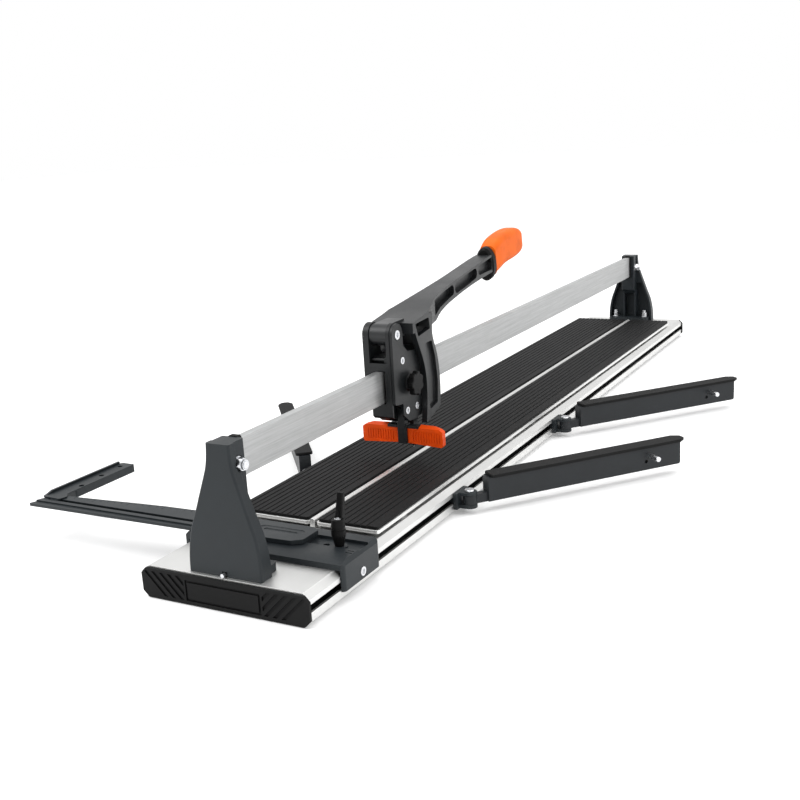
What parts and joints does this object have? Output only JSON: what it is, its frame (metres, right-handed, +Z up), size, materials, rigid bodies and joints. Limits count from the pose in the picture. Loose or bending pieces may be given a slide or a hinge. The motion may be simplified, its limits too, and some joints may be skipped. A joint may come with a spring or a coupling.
{
  "type": "manual tile cutter",
  "caption": "Rail tile cutter: sprung bed, bar-guided carriage with scoring wheel and breaker foot, long pivoting handle, angle fence with rule and fold-out side supports.",
  "frame": {"origin": "bottom centre of the base at floor level, on the guide bar's centre plane", "axes": "+Z up, +Y along the guide bar from the fence end to the far pylon, +X to the right seen from the fence end"},
  "size_m": [0.6655, 1.441, 0.3014],
  "materials": {
    "arm_casting": "satin powder coat",
    "bar_steel": "ground",
    "base_aluminium": "satin anodised",
    "black_plastic": "matte",
    "black_rubber": "matte",
    "bright_steel": "zinc plated",
    "carbide": "ground",
    "casting": "satin powder coat",
    "casting_head": "satin powder coat",
    "grip_rubber": "matte",
    "handle_metal": "satin powder coat",
    "shoe_plastic": "matte"
  },
  "bodies": {
    "base": {"base_extrusion": "base_aluminium", "front_end_cap": "black_rubber", "rear_end_cap": "black_rubber", "rubber_feet": "black_rubber", "front_pylon": "casting", "rear_pylon": "casting", "guide_bar": "bar_steel", "pylon_cross_bolts": "bright_steel", "pylon_cross_nuts": "bright_steel", "pylon_base_bolts": "bright_steel", "bar_bumpers": "black_rubber", "breaking_strip": "base_aluminium", "fence_saddle": "casting", "saddle_screws": "bright_steel", "fence_pivot_pin": "casting_head", "arm_brackets": "casting", "arm_hinge_pins": "bright_steel", "bed_springs_left": "bright_steel", "bed_springs_right": "bright_steel"},
    "bed_left": {"bed_plate_left": "base_aluminium", "bed_pad_left": "black_rubber"},
    "bed_right": {"bed_plate_right": "base_aluminium", "bed_pad_right": "black_rubber"},
    "fence": {"angle_plate": "casting", "ruler_rail": "casting"},
    "stop": {"side_stop": "casting"},
    "lever": {"clamp_lever": "black_plastic", "clamp_lever_screw": "bright_steel"},
    "carriage": {"carriage_body": "casting_head", "carriage_cover": "casting_head", "cover_screws": "bright_steel", "handle_pivot_pin": "bright_steel", "roller_axles": "bright_steel"},
    "roller_uf": {"roller_upper_front": "bright_steel"},
    "roller_ur": {"roller_upper_rear": "bright_steel"},
    "roller_lf": {"roller_lower_front": "bright_steel"},
    "roller_lr": {"roller_lower_rear": "bright_steel"},
    "breaker": {"breaker_plunger": "casting_head", "breaker_cross_pin": "casting_head", "breaker_wing_left": "shoe_plastic", "breaker_wing_right": "shoe_plastic"},
    "tool": {"wheel_holder": "casting_head", "wheel_axle": "bright_steel"},
    "wheel": {"scoring_wheel": "carbide"},
    "knob": {"height_knob": "black_plastic"},
    "handle": {"handle_casting": "handle_metal", "handle_collar": "black_plastic", "handle_grip": "grip_rubber"},
    "arm_front_right": {"support_arm_front_right": "arm_casting", "support_pad_front_right": "black_rubber", "support_rod_front_right": "bright_steel"},
    "arm_rear_right": {"support_arm_rear_right": "arm_casting", "support_pad_rear_right": "black_rubber", "support_rod_rear_right": "bright_steel"},
    "arm_front_left": {"support_arm_front_left": "arm_casting", "support_pad_front_left": "black_rubber", "support_rod_front_left": "bright_steel"},
    "arm_rear_left": {"support_arm_rear_left": "arm_casting", "support_pad_rear_left": "black_rubber", "support_rod_rear_left": "bright_steel"}
  },
  "joints": [
    {"name": "bed_left_press", "type": "slide", "parent": "base", "child": "bed_left", "axis": [0, 0, 1], "range_m": [-0.002, 0], "stiffness_N_per_m": 20000, "springref_m": 0.002, "deforming": ["bed_springs_left"]},
    {"name": "bed_right_press", "type": "slide", "parent": "base", "child": "bed_right", "axis": [0, 0, 1], "range_m": [-0.002, 0], "stiffness_N_per_m": 20000, "springref_m": 0.002, "deforming": ["bed_springs_right"]},
    {"name": "fence_turn", "type": "hinge", "parent": "base", "child": "fence", "pos_m": [0.0115, -0.622, 0.0474], "axis": [0, 0, 1], "range_deg": [-10, 30]},
    {"name": "stop_slide", "type": "slide", "parent": "fence", "child": "stop", "axis": [1, 0, 0], "range_m": [0, 0.2]},
    {"name": "clamp_turn", "type": "hinge", "parent": "base", "child": "lever", "pos_m": [0.077, -0.6235, 0.05], "axis": [0, 0, 1], "range_deg": [-90, 90]},
    {"name": "arm_front_right_turn", "type": "hinge", "parent": "base", "child": "arm_front_right", "pos_m": [0.118, -0.388, 0.02], "axis": [0, 0, 1], "range_deg": [-50, 40]},
    {"name": "arm_front_left_turn", "type": "hinge", "parent": "base", "child": "arm_front_left", "pos_m": [-0.118, -0.388, 0.02], "axis": [0, 0, 1], "range_deg": [-40, 50]},
    {"name": "arm_rear_right_turn", "type": "hinge", "parent": "base", "child": "arm_rear_right", "pos_m": [0.118, -0.047, 0.02], "axis": [0, 0, 1], "range_deg": [-50, 40]},
    {"name": "arm_rear_left_turn", "type": "hinge", "parent": "base", "child": "arm_rear_left", "pos_m": [-0.118, -0.047, 0.02], "axis": [0, 0, 1], "range_deg": [-40, 50]},
    {"name": "carriage_slide", "type": "slide", "parent": "base", "child": "carriage", "axis": [0, 1, 0], "range_m": [-0.28, 0.941]},
    {"name": "roller_upper_front_spin", "type": "hinge", "parent": "carriage", "child": "roller_uf", "pos_m": [0, -0.352, 0.178], "axis": [1, 0, 0], "continuous": true},
    {"name": "roller_upper_rear_spin", "type": "hinge", "parent": "carriage", "child": "roller_ur", "pos_m": [0, -0.3115, 0.178], "axis": [1, 0, 0], "continuous": true},
    {"name": "roller_lower_front_spin", "type": "hinge", "parent": "carriage", "child": "roller_lf", "pos_m": [0, -0.374, 0.1225], "axis": [1, 0, 0], "continuous": true},
    {"name": "roller_lower_rear_spin", "type": "hinge", "parent": "carriage", "child": "roller_lr", "pos_m": [0, -0.3115, 0.1225], "axis": [1, 0, 0], "continuous": true},
    {"name": "handle_lift", "type": "hinge", "parent": "carriage", "child": "handle", "pos_m": [0, -0.372, 0.215], "axis": [1, 0, 0], "range_deg": [0, 55]},
    {"name": "breaker_press", "type": "slide", "parent": "carriage", "child": "breaker", "axis": [0, 0, 1], "range_m": [-0.011, 0]},
    {"name": "tool_height", "type": "slide", "parent": "carriage", "child": "tool", "axis": [0, 0, 1], "range_m": [-0.006, 0.012]},
    {"name": "wheel_spin", "type": "hinge", "parent": "tool", "child": "wheel", "pos_m": [0.0115, -0.326, 0.065], "axis": [1, 0, 0], "continuous": true},
    {"name": "knob_turn", "type": "hinge", "parent": "carriage", "child": "knob", "pos_m": [0.03, -0.347, 0.1485], "axis": [1, 0, 0], "range_deg": [-180, 180]}
  ],
  "couplings": [
    {"joint": "breaker_press", "follows": "handle_lift", "m_per_rad": -0.011355},
    {"joint": "roller_upper_front_spin", "follows": "carriage_slide", "rad_per_m": -133.33},
    {"joint": "roller_upper_rear_spin", "follows": "carriage_slide", "rad_per_m": -133.33},
    {"joint": "roller_lower_front_spin", "follows": "carriage_slide", "rad_per_m": 133.33},
    {"joint": "roller_lower_rear_spin", "follows": "carriage_slide", "rad_per_m": 133.33}
  ]
}
